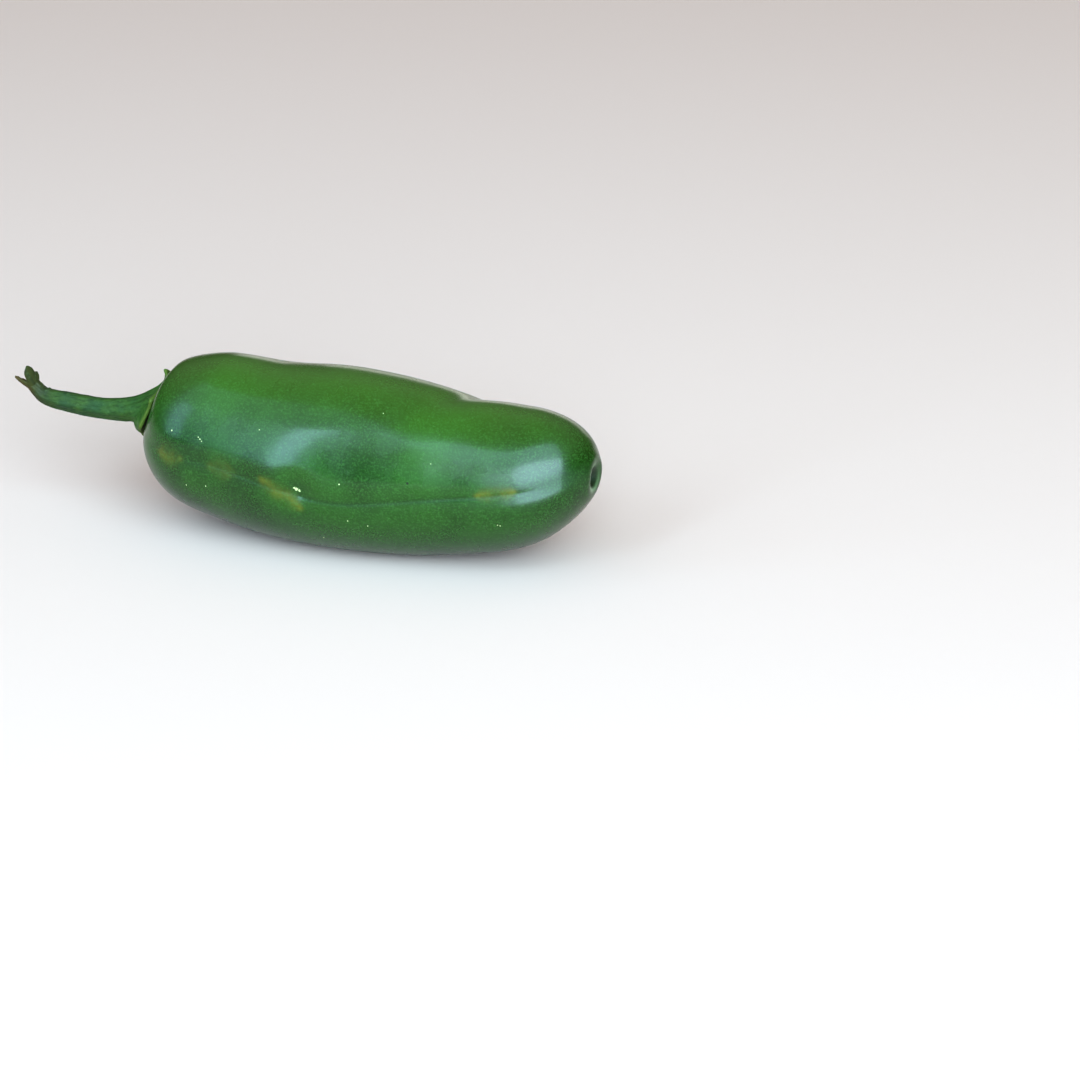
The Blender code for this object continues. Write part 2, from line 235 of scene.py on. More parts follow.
# The torn end: prongs as turn and half width in degrees, length and outward lean in mm, made
# ragged by noise that is read along a circle. The steps go over a prong and down its inside,
# as shares of its length and of the stalk's radius.
PRONGS = (
    (258, 42, 2.2, 0.5),
    (208, 34, 1.9, 0.45),
    (122, 40, 3.2, 1.8),
    (72, 11, 0.6, 0.9),
)
PRONG_STUB = 0.35 * MM
PRONG_POWER = 3
PRONG_RAG = 0.10
PRONG_RAG_CIRCLE = 3
PRONG_RAG_SLICE = 0.5
TORN_STEPS = (
    (0.0, 1.0),
    (0.30, 1.06),
    (0.64, 1.05),
    (0.92, 0.92),
    (1.00, 0.68),
    (0.86, 0.42),
    (0.35, 0.35),
)
TORN_RINGS = 36
TORN_CUP = 0.3 * MM

# The calyx: a thin disc that follows the crown, with teeth as turn in degrees, size and how
# far the tip curls away in mm. Its rings lie under it, round its edge and over it, up to where
# it flares to the stalk, which is nearer the rim below.
CALYX_GAP = 0.3 * MM
CALYX_RADIUS = 5.9 * MM
CALYX_TEETH = (
    (28, 0.9, 0.0),
    (84, 0.7, 1.2),
    (151, 0.8, 0.0),
    (208, 0.3, 0.0),
    (266, 0.5, 0.0),
    (330, 0.9, 0.0),
)
TOOTH_LENGTH = 1.2 * MM
TOOTH_HALF_TURN = math.radians(9)
TOOTH_FOOT = 0.5 * MM
TOOTH_FOOT_TURN = math.radians(24)
CALYX_RIM = 0.65 * MM
CALYX_EDGE = 0.25 * MM
CALYX_MIDDLE = 1.1 * MM
CALYX_RIDGE = 0.20 * MM
CALYX_LIFT = 0.4 * MM
CALYX_LIFT_TURN = math.radians(255)
CALYX_LIFT_SPREAD = math.radians(57)
CALYX_LIFT_POWER = 4
CALYX_INNER = 0.68
CALYX_CONE = 0.5 * MM
CALYX_CONE_INNER = 0.23
CALYX_CONE_TURN = math.radians(258)
CALYX_CONE_SPREAD = math.radians(60)
UNDER_START = 0.08
UNDER_RINGS = 20
EDGE_RINGS = 9
UPPER_RINGS = 16
FLARE_RINGS = 34
FLARE_INWARD = 1.3 * MM
FLARE_ALONG = 2.8 * MM
CALYX_SIDES = 216
CALYX_TOOTH_FINER = 1.5
CALYX_TOOTH_REACH = 1.5 * TOOTH_HALF_TURN

# The stem's rings in order: under the calyx, its edge, over it, the flare, the stalk and the
# torn end. Then how much the fibres and the unevenness show on each of the six.
STEM_RINGS = (UNDER_RINGS, EDGE_RINGS, UPPER_RINGS, FLARE_RINGS, STALK_RINGS, TORN_RINGS)
FIBRES_SHOW = (0, 0, 0.5, 1, 1, 0.7)
WAVES_SHOW = (0, 0.3, 0.6, 1, 1, 1)

# Marks on the pod. Ochre streaks, a painted reflection of a warm horizon, run from one place
# to another, each place as s in mm and turn in degrees, with half of the width in mm and a
# strength. They narrow towards their ends.
OCHRE_REFLECTION_STREAKS = (
    ((8.0, 184), (12.5, 181), 1.6, 0.60),
    ((19.0, 179), (23.5, 178), 1.5, 0.45),
    ((29.5, 177), (37.0, 193), 1.3, 0.70),
    ((69.5, 173), (76.0, 172), 1.1, 0.80),
)
STREAK_END_WIDTH = 0.45

# Cream scars and specks: s in mm, turn in degrees and radius in mm. Their edges are ragged,
# and fade between two shares of the radius.
SPECKS = (
    (35.8, 180.3, 0.22),
    (36.2, 181.0, 0.30),
    (36.7, 181.6, 0.24),
    (10.1, 162, 0.15),
    (15.9, 161, 0.11),
    (16.3, 162, 0.12),
    (16.7, 163.2, 0.10),
    (27.8, 146, 0.09),
    (14.4, 200, 0.10),
    (18.4, 195, 0.10),
    (40.5, 217, 0.14),
    (51.0, 123, 0.09),
    (61.3, 152, 0.09),
    (44.6, 173, 0.13),
    (45.9, 198, 0.11),
    (49.4, 201, 0.10),
    (72.5, 197.6, 0.12),
    (72.9, 198.6, 0.10),
)
DARK_SPECK = (57.2, 167, 0.22)
SPECK_EDGE = (0.8, 1.3)

# Painted shade: along the crease, as parts with a strength and a share of its width, in the
# dimple and at two marks beside it, as s, turn and radius, and in a streak at the tip, as s,
# turn, half length and half width. Lengths are in mm and turns in degrees.
SHADED_CREASE = (
    (0.25, 1.0),
    (0.75, 0.22),
)
SHADED_DIMPLE = 0.8
SHADED_DIMPLE_RADIUS = 0.7 * DIMPLE_WIDTH
SHADED_MARKS = (
    (35.2, 176.4, 0.55),
    (36.7, 185.0, 0.50),
)
SHADED_STREAK = (82.5, 174, 6.0, 1.7)

# Painted light and shade: the olive of the lit top, the shade below and at the tip, and the
# highlight on the lip round the pit.
LIT_TOP_TURN = math.radians(75)
LIT_TOP_SPREAD = math.radians(55)
BELLY_SHADE_TURN = math.radians(262)
BELLY_SHADE_SPREAD = math.radians(54)
TIP_SHADE = 0.8
TIP_SHADE_FROM = 0.80
TIP_SHADE_POWER = 1.5
LIP_HIGHLIGHT_RADIUS = 1.25 * PIT_RADIUS
LIP_HIGHLIGHT_WIDTH = 0.25 * PIT_RADIUS
LIP_HIGHLIGHT_TURN = math.radians(205)
LIP_HIGHLIGHT_SPREAD = math.radians(75)

# Where the stem changes: the calyx's edge fades under and over it by these powers, the stem's
# pale base still shows this much at the start of the stalk, and the end of the stalk is darker
# from this share of its length on, and brown on one side.
EDGE_UNDER_POWER = 6
EDGE_UPPER_POWER = 5
BASE_AT_STALK = 0.4
STALK_END_FROM = 0.80
BROWN_POWER = 4
BROWN_TURN = math.radians(252)
BROWN_SPREAD = math.radians(50)

# Patterns of blots: their size, their detail, the two values between which the pattern steps
# up, and what it gives below and above them. SKIN_ROUGH gives the roughness itself, and
# SPECK_RAG is added to the distance from a speck, as a share of its radius.
SKIN_DRIFT = (16 * MM, 3.0, 0.35, 0.65, 0.0, 1.0)
SKIN_BROKEN = (2.4 * MM, 3.0, 0.30, 0.65, 0.25, 1.0)
SKIN_GRAINS = (0.34 * MM, 1.0, 0.40, 0.80, 0.0, 0.28)
SKIN_ROUGH = (6 * MM, 4.0, 0.3, 0.7, 0.23, 0.31)
SPECK_RAG = (0.3 * MM, 2.0, 0.3, 0.7, -0.3, 0.3)
STALK_MOTTLE = (3.0 * MM, 3.0, 0.35, 0.65, 0.0, 1.0)
STALK_BLOTS = (0.7 * MM, 3.0, 0.55, 0.75, 0.0, 0.15)

# Patterns of dots: how far apart they are, the two distances, as shares of that, between
# which a dot fades out, and how strongly it shows.
SKIN_PORES = (1.9 * MM, 0.04, 0.10, 0.22)
SKIN_FLECKS = (11 * MM, 0.008, 0.015, 0.6)

# The stem's fibres, in units of their pattern, and how far the colour and the roughness
# follow them: between two values of the pattern, from one amount to another.
FIBRE_SIZE = 0.22
FIBRE_DETAIL = 3.0
FIBRE_BREAKS = 0.6
FIBRE_DARK = (0.45, 0.7, 0.0, 0.45)
FIBRE_ROUGH = (0.3, 0.7, 0.50, 0.70)

# How strongly the marks, painted light and shade among them, colour the skin and the stem, and
# how much rougher they make the skin. The pit's dark, partly painted shade, fades in between
# two values, and the torn pith between two values and two strengths.
LIT_TOP_SHARE = 0.55
BELLY_SHADE_SHARE = 0.85
CREASE_SHADE_SHARE = 0.8
LIP_HIGHLIGHT_SHARE = 0.8
PIT_SHADE_STEP = (0.12, 0.50)
SCAR_ROUGHER = 0.2
PIT_ROUGHER = 0.35
END_SHARE = 0.8
BROWN_SHARE = 0.8
EDGE_SHARE = 0.85
PITH_STEP = (0.55, 0.75, 0.0, 0.6)

# Fine bump: the size and detail of its pattern, then its height and strength.
SKIN_BUMP_SIZE = 0.5 * MM
SKIN_BUMP_DETAIL = 2.0
SKIN_BUMP_HEIGHT = 0.02 * MM
SKIN_BUMP_STRENGTH = 0.5
SCAR_BUMP = 0.8
STALK_BUMP_SIZE = 0.45 * MM
STALK_BUMP_DETAIL = 3.0
STALK_BUMP_HEIGHT = 0.05 * MM
STALK_BUMP_STRENGTH = 0.6

# The shaders' inputs that are the same all over.
SKIN_GLOSS = {"IOR": 1.42, "Coat Weight": 0.30, "Coat Roughness": 0.12, "Coat IOR": 1.45}
STALK_GLOSS = {"Specular IOR Level": 0.22}
FLOOR_GLOSS = {"Roughness": 0.9, "Specular IOR Level": 0.2}

# Colours as they are seen, with red, green and blue up to 255.
SKIN_DEEP = (17, 50, 6)
SKIN_MID = (31, 71, 13)
# Painted light: the olive of the top, where light falls on it.
SKIN_LIT_TOP = (62, 92, 18)
# Painted shade below and at the tip.
SKIN_BELLY_SHADE = (5, 28, 2)
# Painted shade along the crease, in the dimple and at the tip.
SKIN_CREASE_SHADE = (14, 50, 2)
# Painted reflection of a warm horizon, in streaks along the crease.
SKIN_OCHRE_REFLECTION = (90, 88, 16)
SKIN_GRAIN = (70, 118, 54)
SKIN_CREAM = (176, 182, 130)
# The dark speck's colour, also used inside the pit, where it is partly painted shade.
SKIN_DARK_AND_PIT_SHADE = (14, 32, 8)
# Painted highlight on the pit's lip.
PIT_LIP_HIGHLIGHT = (128, 152, 110)
STALK_GREEN = (48, 66, 26)
STALK_BLUE = (30, 50, 32)
STALK_BASE = (54, 90, 30)
STALK_DARK = (18, 30, 10)
STALK_BROWN = (88, 60, 30)
STALK_END = (56, 54, 20)
STALK_PITH = (104, 132, 78)
CALYX_PALE = (84, 102, 38)
# Painted shade under the calyx.
CALYX_UNDER_SHADE = (22, 46, 12)
FLOOR_COLOUR = (208, 182, 172)

# The light: each box as name, turn to the right of the near side and height above the horizon
# in degrees, width, height and distance in metres, watts and colour.
LIGHT_BOXES = (
    ("window_left", -43, 38, 1.15, 1.60, 1.2, 6.5, (0.42, 0.74, 1.00)),
    ("pane_left", -24, 24, 0.17, 1.08, 1.1, 6.6, (0.50, 0.80, 1.00)),
    ("pane_far_left", -58, 22, 0.26, 0.60, 1.1, 1.6, (0.45, 0.78, 1.00)),
    ("window_right", 38, 34, 1.20, 1.50, 1.2, 25.0, (0.50, 0.83, 1.00)),
    ("pane_right", 37, 19, 1.06, 0.85, 1.1, 19.5, (0.62, 0.84, 1.00)),
    ("pane_middle", 9, 14, 0.15, 0.58, 1.1, 1.1, (0.62, 0.84, 1.00)),
    ("behind", 182, 5, 0.80, 0.25, 1.2, 0.8, (1.00, 0.98, 0.95)),
)

# The sky brightens between two heights, 0 being the horizon and 1 straight up.
SKY_LOW = (0.10, 0.09, 0.075)
SKY_LOW_AT = 0.20
SKY_TOP = (0.54, 0.50, 0.44)
SKY_TOP_AT = 0.70
EXPOSURE = 0.2
GAMMA = 0.84

# The camera looks as the photograph does: its turn to the right of the near side, its height
# above the horizon, and how large the pod is and where in the frame SEEN_MIDDLE, a point
# inside it, lies.
CAMERA_TURN = math.radians(20)
CAMERA_HEIGHT = math.radians(23)
CAMERA_DISTANCE = 0.6
CAMERA_CLIP = (0.01, 50.0)
IMAGE_PX = 1080
PX_PER_METRE = 5440
SENSOR = 36.0
SEEN_MIDDLE_PX = (370.5, 455.6)
SEEN_MIDDLE = np.array([13.17, -0.1, 16.2]) * MM

FLOOR_HALF = 4.0
FLOOR_GAP = 0.02 * MM


def curve_through(stations, column, x):
    """The smooth curve through one column of the stations, read at x."""
    xs = np.array([station[0] for station in stations]) * MM
    ys = np.array([station[column] for station in stations]) * MM
    count = len(xs)
    gaps = np.diff(xs)
    slopes = np.diff(ys) / gaps
    system = np.eye(count)
    wanted = np.zeros(count)
    for i in range(1, count - 1):
        system[i, i - 1:i + 2] = gaps[i - 1], 2 * (gaps[i - 1] + gaps[i]), gaps[i]
        wanted[i] = 6 * (slopes[i] - slopes[i - 1])
    bends = np.linalg.solve(system, wanted)
    x = np.clip(np.asarray(x, float), xs[0], xs[-1])
    i = np.clip(np.searchsorted(xs, x) - 1, 0, count - 2)
    after = x - xs[i]
    before = xs[i + 1] - x
    cubic = (bends[i] * before**3 + bends[i + 1] * after**3) / (6 * gaps[i])
    left = (ys[i] / gaps[i] - bends[i] * gaps[i] / 6) * before
    right = (ys[i + 1] / gaps[i] - bends[i + 1] * gaps[i] / 6) * after
    return cubic + left + right


def bell(x):
    return np.exp(-x**2)


def turned(v, start):
    """The turn from start to v, between minus and plus half a turn."""
    return (v - start + math.pi) % (2 * math.pi) - math.pi


def round_end(distance, length, power):
    share = np.clip(distance / length, 0, 1)
    return (1 - (1 - share) ** power) ** (1 / power)


def spaced(count, fine, steps):
    """count values read from fine, at even shares of the running total of steps."""
    total = np.concatenate([[0.0], np.cumsum(steps)])
    return np.interp(np.linspace(0, total[-1], count), total, fine)


def crease_turn(s):
    return math.radians(1) * curve_through(CREASE_PATH, 1, s) / MM


def pod_radius(s, v):
    near_end = round_end(s, SHOULDER_CAP, SHOULDER_POWER)
    far_end = round_end(POD_LENGTH - s, TIP_CAP, TIP_POWER)
    ends = near_end * far_end
    share = s / POD_LENGTH
    r = curve_through(POD_STATIONS, 1, s) * ends
    r = r * (1 + LOBE_SWELL * np.cos(LOBES * (v - LOBE_TURN)) * (1 - LOBE_FADE * share))
    for size, along, around, phase in SWELLS:
        wave = np.sin(2 * math.pi * along * share + phase) * np.cos(around * v + phase)
        r = r + size * MM * ends * wave
    for at, turn, height, along, reach in NEAR_SWELLS:
        beside = turned(v, math.radians(turn)) / math.radians(reach)
        r = r + height * MM * bell((s - at * MM) / (along * MM)) * bell(beside)
    across = turned(v, DIMPLE_TURN) * r
    r = r - DIMPLE_DEPTH * bell((s - DIMPLE_ALONG) / DIMPLE_WIDTH) * bell(across / DIMPLE_WIDTH)
    line = VALLEY_ALONG + VALLEY_SLANT * turned(v, VALLEY_TURN)
    reach = bell(turned(v, VALLEY_TURN) / VALLEY_REACH)
    r = r - VALLEY_DEPTH * bell((s - line) / VALLEY_WIDTH) * reach
    across = turned(v, crease_turn(s)) * r
    return r - CREASE_DEPTH * ends * bell(across / CREASE_WIDTH)


def pod_axis(s):
    """The centre of the pod's section at s, the way along the axis and the way up from it."""
    bend_radius = POD_LENGTH / POD_BEND
    turn = (s - POD_LENGTH / 2) / bend_radius
    zero = 0 * turn
    along = np.stack([np.cos(turn), zero, np.sin(turn)], -1)
    up = np.stack([-np.sin(turn), zero, np.cos(turn)], -1)
    bow = SIDE_BOW * (2 * s / POD_LENGTH - 1) ** 2
    arc = np.stack([bend_radius * np.sin(turn), bow, bend_radius * (1 - np.cos(turn))], -1)
    rise = curve_through(POD_STATIONS, 2, s)
    return arc + np.array(POD_MIDDLE) + rise[..., None] * up, along, up


def from_pit(r, v):
    """How far a place on the blossom end is from the middle of the pit."""
    sideways = r * np.cos(v) - PIT_OFF * math.cos(PIT_TURN)
    up = r * np.sin(v) - PIT_OFF * math.sin(PIT_TURN)
    return np.hypot(sideways, up)


def pod_points(s, v):
    """Points of the pod's surface."""
    s, v = np.broadcast_arrays(np.asarray(s, float), np.asarray(v, float))
    r = pod_radius(s, v)
    centre, along, up = pod_axis(s)
    crown = (CROWN_DEPTH + CROWN_TILT * r * np.sin(v)) * bell(r / CROWN_RADIUS)
    swell = bell(turned(v, SHOULDER_SWELL_TURN) / SHOULDER_SWELL_REACH)
    swell = swell * bell((r - SHOULDER_SWELL_RADIUS) / SHOULDER_SWELL_WIDTH)
    crown = crown - SHOULDER_SWELL * swell * bell(s / SHOULDER_CAP)
    away = from_pit(r, v)
    pit = PIT_LIP * bell((away - PIT_LIP_RADIUS) / PIT_LIP_WIDTH)
    pit = pit - PIT_DEPTH * bell(away / PIT_RADIUS)
    sink = np.where(s < POD_LENGTH / 2, crown, pit)
    across = np.cos(v)[..., None] * SIDEWAYS + np.sin(v)[..., None] * up
    return centre + r[..., None] * across + sink[..., None] * along


def pod_places(count):
    """Places for the rings: even along the outline, and closer round the pit."""
    fine = POD_LENGTH * (1 - np.cos(math.pi * np.linspace(0, 1, FINE_STEPS))) / 2
    r = pod_radius(fine, 0.0)
    middle_r = (r[1:] + r[:-1]) / 2
    at_tip = fine[1:] > POD_LENGTH / 2
    finer = 1 + POD_PIT_FINER * at_tip * bell(middle_r / (PIT_OFF + PIT_RADIUS))
    return spaced(count, fine, np.hypot(np.diff(fine), np.diff(r)) * finer)


def pod_turns():
    """Turns for the pod's columns, closer together along the crease."""
    fine = np.linspace(0, 2 * math.pi, FINE_STEPS)
    finer = 1 + CREASE_FINER * bell(turned(fine[1:], math.pi) / CREASE_FINER_REACH)
    return spaced(POD_SIDES + 1, fine, finer)[:-1]


def crown_place(radius, v):
    """The s at which the pod, near its crown, has this radius at turn v."""
    fine = SHOULDER_CAP * np.linspace(0, 1, CROWN_STEPS) ** 2
    columns = pod_radius(fine[:, None], v[None, :]).T
    return np.array([np.interp(one, column, fine) for one, column in zip(radius, columns)])


def above_crown(radius, v, height):
    """Points at this height over the pod's crown, at a radius from its middle."""
    step = 0.02 * MM
    s = crown_place(radius, v)
    at = pod_points(s, v)
    along_pod = pod_points(crown_place(radius + step, v), v) - at
    round_pod = pod_points(s, v + step / np.maximum(radius, step)) - at
    outward = np.cross(round_pod, along_pod)
    outward = outward / np.linalg.norm(outward, axis=-1, keepdims=True)
    return at + np.asarray(height)[..., None] * outward


def tooth_share(v, half_turn):
    """1 on the middle of each of the calyx's teeth, falling to 0 beside it."""
    return sum(size * bell(turned(v, math.radians(at)) / half_turn)
               for at, size, _ in CALYX_TEETH)


def calyx_turns():
    """Turns for the calyx's columns, closer together at the teeth."""
    fine = np.linspace(0, 2 * math.pi, FINE_STEPS)
    finer = 1 + CALYX_TOOTH_FINER * tooth_share(fine[1:], CALYX_TOOTH_REACH)
    return spaced(CALYX_SIDES + 1, fine, finer)[:-1]


def stalk_stations():
    """The stalk's centre line as stations: distance along it, x and z, in mm."""
    xs = [point[0] for point in STALK_PATH]
    zs = [point[1] for point in STALK_PATH]
    reached = np.concatenate([[0.0], np.cumsum(np.hypot(np.diff(xs), np.diff(zs)))])
    return list(zip(reached, xs, zs))


def stalk_length():
    return stalk_stations()[-1][0] * MM


def stalk_centre(distance):
    """The stalk's centre at a distance from the crown."""
    stations = stalk_stations()
    x = curve_through(stations, 1, distance)
    z = curve_through(stations, 2, distance)
    y = -STALK_SWAY * (distance / stalk_length()) ** 2
    return pod_points(0.0, 0.0) + np.array([x, y, z])


def stalk_frame(distance):
    """The way along the stalk, and the way up from it, at a distance from the crown."""
    step = 0.05 * MM
    before = stalk_centre(min(distance, stalk_length() - step))
    along = stalk_centre(min(distance + step, stalk_length())) - before
    along = along / np.linalg.norm(along)
    up = np.cross(SIDEWAYS, along)
    return along, up / np.linalg.norm(up)


def round_stalk(up, v):
    """Ways out from the stalk's centre at turns v."""
    return np.cos(v)[:, None] * SIDEWAYS + np.sin(v)[:, None] * up


def stalk_ring(distance, v):
    """One ring of the stalk, with its ribs and nicks."""
    _, up = stalk_frame(distance)
    r = curve_through(STALK_STATIONS, 1, distance)
    r = r + STALK_RIB_HEIGHT * np.cos(STALK_RIBS * (v - STALK_RIB_TURN))
    for at, turn, height, width in STALK_NICKS:
        away = np.hypot(distance - at * MM, turned(v, math.radians(turn)) * r)
        r = r + height * MM * bell(away / (width * MM))
    return stalk_centre(distance) + r[:, None] * round_stalk(up, v)


def torn_rings(v):
    """The rings over the torn prongs and down into the cup between them, and its bottom."""
    end = stalk_centre(stalk_length())
    along, up = stalk_frame(stalk_length())
    r = float(curve_through(STALK_STATIONS, 1, stalk_length()))
    reach = np.full(len(v), PRONG_STUB)
    lean = np.zeros(len(v))
    for turn, half_width, length, outward in PRONGS:
        beside = turned(v, math.radians(turn)) / math.radians(half_width)
        share = np.exp(-np.abs(beside) ** PRONG_POWER)
        reach = reach + length * MM * share
        lean = lean + outward * MM * share
    circle = PRONG_RAG_CIRCLE * np.stack([np.cos(v), np.sin(v)], -1)
    ragged = [noise.noise(Vector((*way, PRONG_RAG_SLICE))) for way in circle]
    reach = reach * (1 + PRONG_RAG * np.array(ragged))
    shares = np.array([step[0] for step in TORN_STEPS])
    widths = np.array([step[1] for step in TORN_STEPS])
    places = np.linspace(0, len(TORN_STEPS) - 1, TORN_RINGS + 1)[1:]
    rings = []
    for place in places:
        share = np.interp(place, range(len(shares)), shares)
        width = np.interp(place, range(len(widths)), widths)
        out = r * width + lean * share
        across = out[:, None] * round_stalk(up, v)
        rings.append(end + (reach * share)[:, None] * along + across)
    return rings, end - TORN_CUP * along


def calyx_rings(v):
    """The calyx's rings under it, round its toothed rim, and over it to the flare."""
    rim = (CALYX_RADIUS + TOOTH_LENGTH * tooth_share(v, TOOTH_HALF_TURN)
           + TOOTH_FOOT * tooth_share(v, TOOTH_FOOT_TURN))
    ridge = CALYX_RIDGE * tooth_share(v, TOOTH_HALF_TURN)
    lift = CALYX_LIFT * bell(turned(v, CALYX_LIFT_TURN) / CALYX_LIFT_SPREAD)
    for at, _, curl in CALYX_TEETH:
        lift = lift + curl * MM * bell(turned(v, math.radians(at)) / TOOTH_HALF_TURN)
    cone = bell(turned(v, CALYX_CONE_TURN) / CALYX_CONE_SPREAD)
    inner = CALYX_INNER + CALYX_CONE_INNER * cone
    middle = CALYX_MIDDLE - CALYX_RIM + CALYX_CONE * cone
    flat = 1 - CALYX_EDGE / CALYX_RADIUS
    under = []
    for share in np.linspace(UNDER_START, flat, UNDER_RINGS, endpoint=False):
        under.append(above_crown(rim * share, v, CALYX_GAP + lift * share**CALYX_LIFT_POWER))
    edge = []
    for turn in np.linspace(-math.pi / 2, math.pi / 2, EDGE_RINGS):
        out = rim * flat + CALYX_EDGE * math.cos(turn)
        height = CALYX_GAP + lift + (CALYX_RIM + ridge) * (1 + math.sin(turn)) / 2
        edge.append(above_crown(out, v, height))
    upper = []
    for step in np.linspace(0, 1, UPPER_RINGS + 1)[1:]:
        share = flat - step * (flat - inner)
        lifted = CALYX_GAP + lift * share**CALYX_LIFT_POWER
        upper.append(above_crown(rim * share, v, lifted + CALYX_RIM + ridge + step * middle))
    return under, edge, upper


def flare_rings(inner, before, v):
    """Rings that lead from the calyx's last ring up into the stalk."""
    start = stalk_ring(STALK_START, v)
    along, _ = stalk_frame(STALK_START)
    inward = inner - before
    inward = inward / np.linalg.norm(inward, axis=-1, keepdims=True)
    first = inner + FLARE_INWARD * inward
    last = start - FLARE_ALONG * along
    rings = []
    for t in np.linspace(0, 1, FLARE_RINGS + 2)[1:-1]:
        rings.append((1 - t) ** 3 * inner + 3 * t * (1 - t) ** 2 * first
                     + 3 * t**2 * (1 - t) * last + t**3 * start)
    return rings


def uneven(points, ways, waves):
    """The points moved a little along their ways, by a fixed unevenness."""
    moved = np.array(points)
    for height, length in waves:
        scale = 1 / (length * MM)
        sizes = [noise.noise(Vector(point) * scale) for point in points]
        moved += (height * MM * np.array(sizes))[:, None] * ways
    return moved


def closed_tube(name, points, sides, first_pole, last_pole):
    """A smooth mesh from rings of points, closed by a pole at each end, facing out."""
    rings = len(points) // sides
    faces = []
    for row in range(rings - 1):
        low = row * sides
        high = low + sides
        for i in range(sides):
            j = (i + 1) % sides
            faces.append((low + i, low + j, high + j, high + i))
    start = len(points)
    last = start - sides
    for i in range(sides):
        j = (i + 1) % sides
        faces.append((i, start, j))
        faces.append((last + i, last + j, start + 1))
    mesh = bpy.data.meshes.new(name)
    mesh.from_pydata([*points, first_pole, last_pole], [], faces)
    bm = bmesh.new()
    bm.from_mesh(mesh)
    bmesh.ops.recalc_face_normals(bm, faces=bm.faces)
    bm.to_mesh(mesh)
    bm.free()
    mesh.shade_smooth()
    return mesh


def through_skin(points, sides):
    """The ways straight through the skin of a tube of rings, at each of its points.

    They lead out where the rings follow each other towards the blossom end, as the pod's do,
    and in where they follow each other the other way, as the stalk's do.
    """
    grid = points.reshape(-1, sides, 3)
    along = np.gradient(grid, axis=0)
    around = np.roll(grid, -1, axis=1) - np.roll(grid, 1, axis=1)
    ways = np.cross(around, along)
    ways = ways / np.maximum(np.linalg.norm(ways, axis=-1, keepdims=True), NO_LENGTH)
    return ways.reshape(-1, 3)


def near_streak(s, v, streak):
    """1 on the streak, falling to 0 beside it."""
    (start_s, start_turn), (end_s, end_turn), half_width, strength = streak
    r = pod_radius(s, v)
    start_v = math.radians(start_turn)
    end_v = math.radians(end_turn)
    at_s = s - start_s * MM
    at_v = turned(v, start_v) * r
    way_s = (end_s - start_s) * MM
    way_v = (end_v - start_v) * r
    share = np.clip((at_s * way_s + at_v * way_v) / (way_s**2 + way_v**2), 0, 1)
    away = np.hypot(at_s - share * way_s, at_v - share * way_v)
    taper = STREAK_END_WIDTH + (1 - STREAK_END_WIDTH) * np.sqrt(4 * share * (1 - share))
    return strength * bell(away / (half_width * MM * taper))


def near_place(s, v, at_s, at_v, radius):
    """1 at one place on the pod, falling to 0 beside it."""
    beside = turned(v, at_v) * pod_radius(s, v)
    return bell(np.hypot(s - at_s, beside) / radius)


def near_turn(v, turn, spread):
    """1 along one side of the pod or the stem, falling to 0 beside it."""
    return bell(turned(v, turn) / spread)


def fine_crease(s):
    """How clear the groove and its painted shade are at s: 1 in the middle of the pod and 0 at
    its ends.
    """
    grown = np.clip((s - FINE_CREASE_START) / FINE_CREASE_GROWS, 0, 1)
    return grown * np.clip((FINE_CREASE_END - s) / FINE_CREASE_FADES, 0, 1)


def shaded(s, v):
    """Where shade is painted into the skin: along the groove, in the dimple, at its marks and at
    the tip.
    """
    r = pod_radius(s, v)
    across = turned(v, crease_turn(s)) * r
    crease_shade = sum(strength * bell(across / (share * CREASE_WIDTH))
                 for strength, share in SHADED_CREASE)
    dimple = near_place(s, v, DIMPLE_ALONG, DIMPLE_TURN, SHADED_DIMPLE_RADIUS)
    marks = [near_place(s, v, at * MM, math.radians(turn), radius * MM)
             for at, turn, radius in SHADED_MARKS]
    at, turn, half_length, half_width = SHADED_STREAK
    beside = turned(v, math.radians(turn)) * r
    streak = bell((s - at * MM) / (half_length * MM)) * bell(beside / (half_width * MM))
    return np.max([crease_shade * fine_crease(s), SHADED_DIMPLE * dimple, streak, *marks], axis=0)


def give_numbers(mesh, name, values):
    """One number for each point of the rings, for the material; the poles take the nearest."""
    values = np.ravel(values)
    values = np.concatenate([values, values[:1], values[-1:]])
    layer = mesh.attributes.new(name, "FLOAT", "POINT")
    layer.data.foreach_set("value", values.astype(np.float32))


def give_ways(mesh, name, values):
    """Three numbers for each point of the rings, as give_numbers gives one."""
    values = np.concatenate([values, values[:1], values[-1:]])
    layer = mesh.attributes.new(name, "FLOAT_VECTOR", "POINT")
    layer.data.foreach_set("vector", values.astype(np.float32).ravel())


